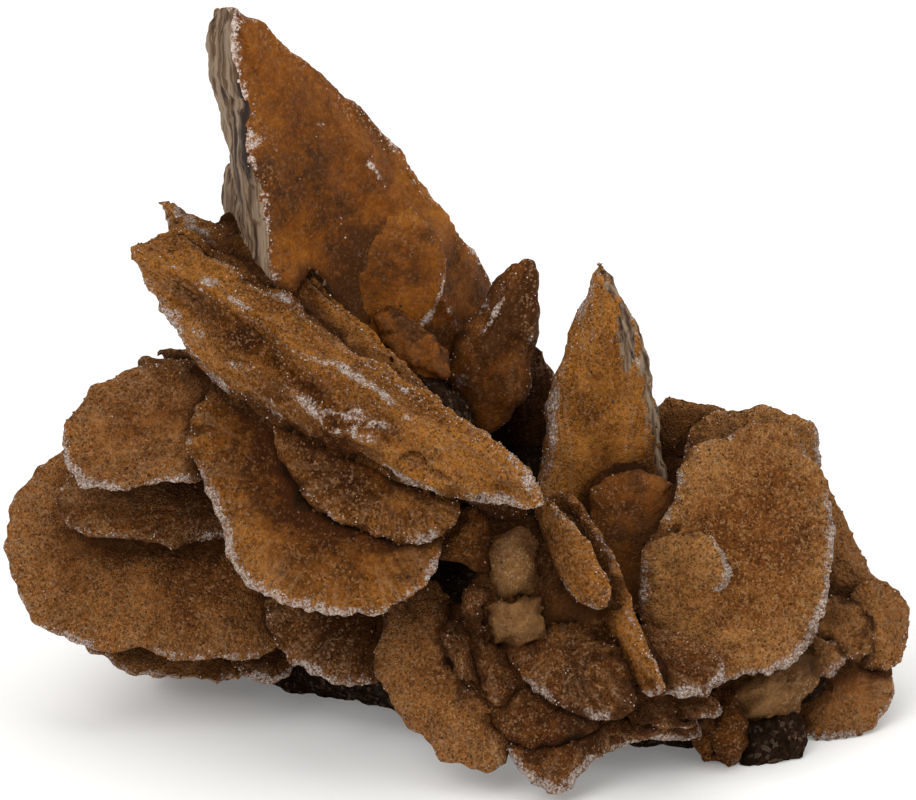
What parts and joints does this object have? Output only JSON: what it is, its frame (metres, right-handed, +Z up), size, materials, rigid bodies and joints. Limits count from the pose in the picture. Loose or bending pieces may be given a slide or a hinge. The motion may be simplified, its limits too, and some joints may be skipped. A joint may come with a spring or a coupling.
{
  "type": "gypsum sand rose",
  "caption": "Gypsum sand rose: sandy amber gypsum blades fanned out of a dark matrix, with one tall blade and a smaller spike.",
  "frame": {"origin": "centre of the footprint's bounding box, on the surface that the rose stands on", "axes": "+X along the rose's width, +Z up, and -Y towards its richest side"},
  "size_m": [0.133, 0.0812, 0.1069],
  "materials": {
    "amber_gypsum": "waxy, satin, with sand specks and pale chipped rims",
    "sandy_gypsum": "matte, crusted with brown sand grains",
    "cream_gypsum": "waxy, pale",
    "sandy_matrix": "rough, dark sandy crust"
  },
  "bodies": {
    "root": {"amber_plate": "cream_gypsum", "amber_post": "amber_gypsum", "amber_wedge": "amber_gypsum", "back_centre_petal": "amber_gypsum", "back_left_petal": "amber_gypsum", "back_middle_petal": "amber_gypsum", "back_right_petal": "amber_gypsum", "back_ring_1": "sandy_gypsum", "back_ring_2": "sandy_gypsum", "back_ring_3": "sandy_gypsum", "back_ring_4": "sandy_gypsum", "back_ring_5": "sandy_gypsum", "back_short_blade": "amber_gypsum", "back_tall_blade": "amber_gypsum", "cream_knob_lower": "cream_gypsum", "cream_knob_upper": "cream_gypsum", "crest_blade": "amber_gypsum", "cup_petal": "amber_gypsum", "far_left_petal": "sandy_gypsum", "far_right_slab": "sandy_gypsum", "fin_left": "amber_gypsum", "fin_right": "amber_gypsum", "front_left_petal": "amber_gypsum", "inner_ridge": "amber_gypsum", "inner_right_petal": "amber_gypsum", "keel_blade": "sandy_gypsum", "left_shard_high": "sandy_gypsum", "left_shard_low": "sandy_gypsum", "low_shell": "sandy_gypsum", "lower_left_petal": "sandy_gypsum", "matrix_knob": "sandy_matrix", "middle_petal": "amber_gypsum", "middle_shell": "sandy_gypsum", "rib_left": "sandy_gypsum", "rib_lower": "sandy_gypsum", "rib_upper": "sandy_gypsum", "right_back_blade": "sandy_gypsum", "right_petal": "amber_gypsum", "right_shell_inner": "sandy_gypsum", "right_shell_low": "sandy_gypsum", "right_shell_outer": "sandy_gypsum", "right_shell_small": "sandy_gypsum", "right_top_blade": "sandy_gypsum", "rim_plate_lower": "sandy_gypsum", "rim_plate_upper": "sandy_gypsum", "sandy_blade": "sandy_gypsum", "sandy_matrix": "sandy_matrix", "shadow_blade": "amber_gypsum", "slab_back": "amber_gypsum", "slab_front": "amber_gypsum", "slab_keel": "amber_gypsum", "small_left_petal": "sandy_gypsum", "spike_blade": "amber_gypsum", "tall_blade": "amber_gypsum", "tall_blade_layer": "amber_gypsum", "tall_blade_splinter": "amber_gypsum", "under_petal": "sandy_gypsum", "under_petal_small": "sandy_gypsum", "upper_left_petal": "sandy_gypsum", "upper_shell": "sandy_gypsum"}
  },
  "joints": []
}
